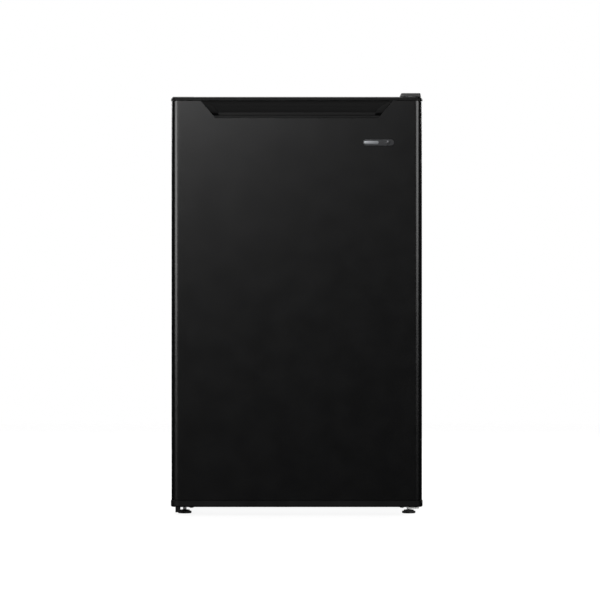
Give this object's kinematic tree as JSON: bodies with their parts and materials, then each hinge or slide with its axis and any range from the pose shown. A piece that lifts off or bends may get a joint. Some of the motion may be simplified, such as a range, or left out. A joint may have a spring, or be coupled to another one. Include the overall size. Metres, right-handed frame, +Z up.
{
  "type": "compact refrigerator",
  "caption": "Compact upright refrigerator with one right-hung door, a recessed grip, a small freezer box, wire shelves, a crisper and a compressor at the back.",
  "frame": {"origin": "on the floor, in the middle of the footprint", "axes": "+X to the right seen from the front, +Y to the rear, +Z up; the door faces -Y"},
  "size_m": [0.5024, 0.51, 0.8425],
  "materials": {
    "cabinet_paint": "satin black pre-painted steel",
    "door_paint": "semi-gloss black pre-painted steel",
    "worktop_plastic": "fine-grained black plastic",
    "cap_plastic": "semi-gloss black moulding",
    "hinge_cover_plastic": "dark grey moulding",
    "zinc_plate": "zinc-plated steel",
    "galvanised_sheet": "galvanised sheet",
    "screw_steel": "zinc-plated screws",
    "back_sheet": "grey-black primed sheet",
    "foam": "rigid polyurethane foam",
    "liner_plastic": "white vacuum-formed sheet",
    "white_plastic": "white moulding",
    "gasket_rubber": "soft black magnetic seal",
    "foot_plastic": "black moulded feet",
    "evaporator_aluminium": "roll-bonded aluminium",
    "clear_plastic": "clear moulding with a faint blue tint",
    "frosted_plastic": "frosted moulding",
    "shelf_wire": "white coated wire",
    "lid_glass": "toughened glass",
    "lens_plastic": "ribbed clear lens",
    "bulb_glass": "small screw-base lamp",
    "control_plastic": "light grey moulding",
    "compressor_paint": "black baked paint",
    "pump_iron": "motor and cast block",
    "mount_rubber": "black rubber mounts",
    "copper": "copper pipe",
    "condenser_paint": "black painted tube and wire",
    "black_moulding": "plain black moulding",
    "drain_plastic": "grey hose",
    "chrome_wire": "chromed wire",
    "badge_metal": "satin nameplate"
  },
  "bodies": {
    "cabinet": {"worktop": "worktop_plastic", "hinge_recess_filler": "worktop_plastic", "top_hinge_bracket": "zinc_plate", "top_hinge_cover": "hinge_cover_plastic", "bottom_hinge_bracket": "zinc_plate", "left_leg_bracket": "cabinet_paint", "case_screws": "screw_steel", "cabinet_shell": "cabinet_paint", "back_panel": "back_sheet", "base_pan": "galvanised_sheet", "light_switch": "white_plastic", "drain_tube": "drain_plastic", "inner_liner": "liner_plastic", "cabinet_foam": "foam", "compressor_plate": "galvanised_sheet", "rear_feet": "foot_plastic", "compressor_shell": "compressor_paint", "compressor_pump": "pump_iron", "compressor_grommets": "mount_rubber", "compressor_bolts": "screw_steel", "compressor_terminal_cover": "black_moulding", "refrigerant_pipes": "copper", "filter_drier": "copper", "condenser_tube": "condenser_paint", "condenser_wires": "condenser_paint", "condenser_brackets": "black_moulding", "evaporating_pan": "black_moulding", "cord_gland": "mount_rubber", "evaporator": "evaporator_aluminium", "evaporator_hangers": "white_plastic", "freezer_frame": "white_plastic", "control_box": "control_plastic", "lamp_lens": "lens_plastic", "lamp_bulb": "bulb_glass", "thermostat": "black_moulding"},
    "door": {"door_skin": "door_paint", "door_top_cap": "cap_plastic", "door_bottom_cap": "cap_plastic", "hinge_bushes_and_plugs": "white_plastic", "door_liner": "liner_plastic", "door_gasket": "gasket_rubber", "door_foam": "foam", "door_badge": "badge_metal"},
    "upper_bin": {"door_bin_upper": "clear_plastic"},
    "middle_bin": {"door_bin_middle": "clear_plastic"},
    "lower_bin": {"door_bin_lower": "clear_plastic", "bottle_rail": "chrome_wire"},
    "flap": {"freezer_flap": "frosted_plastic"},
    "tray": {"drip_tray": "clear_plastic"},
    "upper_shelf": {"shelf_upper": "shelf_wire"},
    "lower_shelf": {"shelf_lower": "shelf_wire"},
    "lid": {"crisper_lid": "lid_glass", "crisper_lid_trim": "white_plastic"},
    "drawer": {"crisper_drawer": "clear_plastic"},
    "knob": {"thermostat_knob": "white_plastic"},
    "plunger": {"light_switch_plunger": "white_plastic"},
    "left_stem": {"left_leg_stem": "zinc_plate"},
    "left_pad": {"left_leg_pad": "foot_plastic"},
    "right_stem": {"right_leg_stem": "zinc_plate"},
    "right_pad": {"right_leg_pad": "foot_plastic"}
  },
  "joints": [
    {"name": "door_swing", "type": "hinge", "parent": "cabinet", "child": "door", "pos_m": [0.232, -0.231, 0.426], "axis": [0, 0, 1], "range_deg": [0, 130]},
    {"name": "upper_bin_lift", "type": "slide", "parent": "door", "child": "upper_bin", "axis": [0, 0, 1], "range_m": [0, 0.025]},
    {"name": "middle_bin_lift", "type": "slide", "parent": "door", "child": "middle_bin", "axis": [0, 0, 1], "range_m": [0, 0.025]},
    {"name": "lower_bin_lift", "type": "slide", "parent": "door", "child": "lower_bin", "axis": [0, 0, 1], "range_m": [0, 0.025]},
    {"name": "flap_swing", "type": "hinge", "parent": "cabinet", "child": "flap", "pos_m": [0, -0.095, 0.7579], "axis": [-1, 0, 0], "range_deg": [0, 85]},
    {"name": "tray_slide", "type": "slide", "parent": "cabinet", "child": "tray", "axis": [0, -1, 0], "range_m": [0, 0.06]},
    {"name": "upper_shelf_slide", "type": "slide", "parent": "cabinet", "child": "upper_shelf", "axis": [0, -1, 0], "range_m": [0, 0.06]},
    {"name": "lower_shelf_slide", "type": "slide", "parent": "cabinet", "child": "lower_shelf", "axis": [0, -1, 0], "range_m": [0, 0.06]},
    {"name": "lid_slide", "type": "slide", "parent": "cabinet", "child": "lid", "axis": [0, -1, 0], "range_m": [0, 0.06]},
    {"name": "drawer_slide", "type": "slide", "parent": "cabinet", "child": "drawer", "axis": [0, -1, 0], "range_m": [0, 0.009]},
    {"name": "knob_turn", "type": "hinge", "parent": "cabinet", "child": "knob", "pos_m": [0.1804, -0.09, 0.6139], "axis": [0, -1, 0], "range_deg": [0, 300]},
    {"name": "plunger_travel", "type": "slide", "parent": "cabinet", "child": "plunger", "axis": [0, -1, 0], "range_m": [0, 0.005]},
    {"name": "left_leg_travel", "type": "slide", "parent": "cabinet", "child": "left_stem", "axis": [0, 0, -1], "range_m": [-0.0025, 0.00875]},
    {"name": "left_leg_turn", "type": "hinge", "parent": "left_stem", "child": "left_pad", "pos_m": [-0.226, -0.172, 0.0035], "axis": [0, 0, 1], "range_deg": [-720, 2520]},
    {"name": "right_leg_travel", "type": "slide", "parent": "cabinet", "child": "right_stem", "axis": [0, 0, -1], "range_m": [-0.0025, 0.00875]},
    {"name": "right_leg_turn", "type": "hinge", "parent": "right_stem", "child": "right_pad", "pos_m": [0.226, -0.172, 0.0035], "axis": [0, 0, 1], "range_deg": [-720, 2520]}
  ],
  "couplings": [
    {"joint": "plunger_travel", "follows": "door_swing", "m_per_rad": 0.0022},
    {"joint": "left_leg_travel", "follows": "left_leg_turn", "m_per_rad": 0.00019894},
    {"joint": "right_leg_travel", "follows": "right_leg_turn", "m_per_rad": 0.00019894}
  ]
}
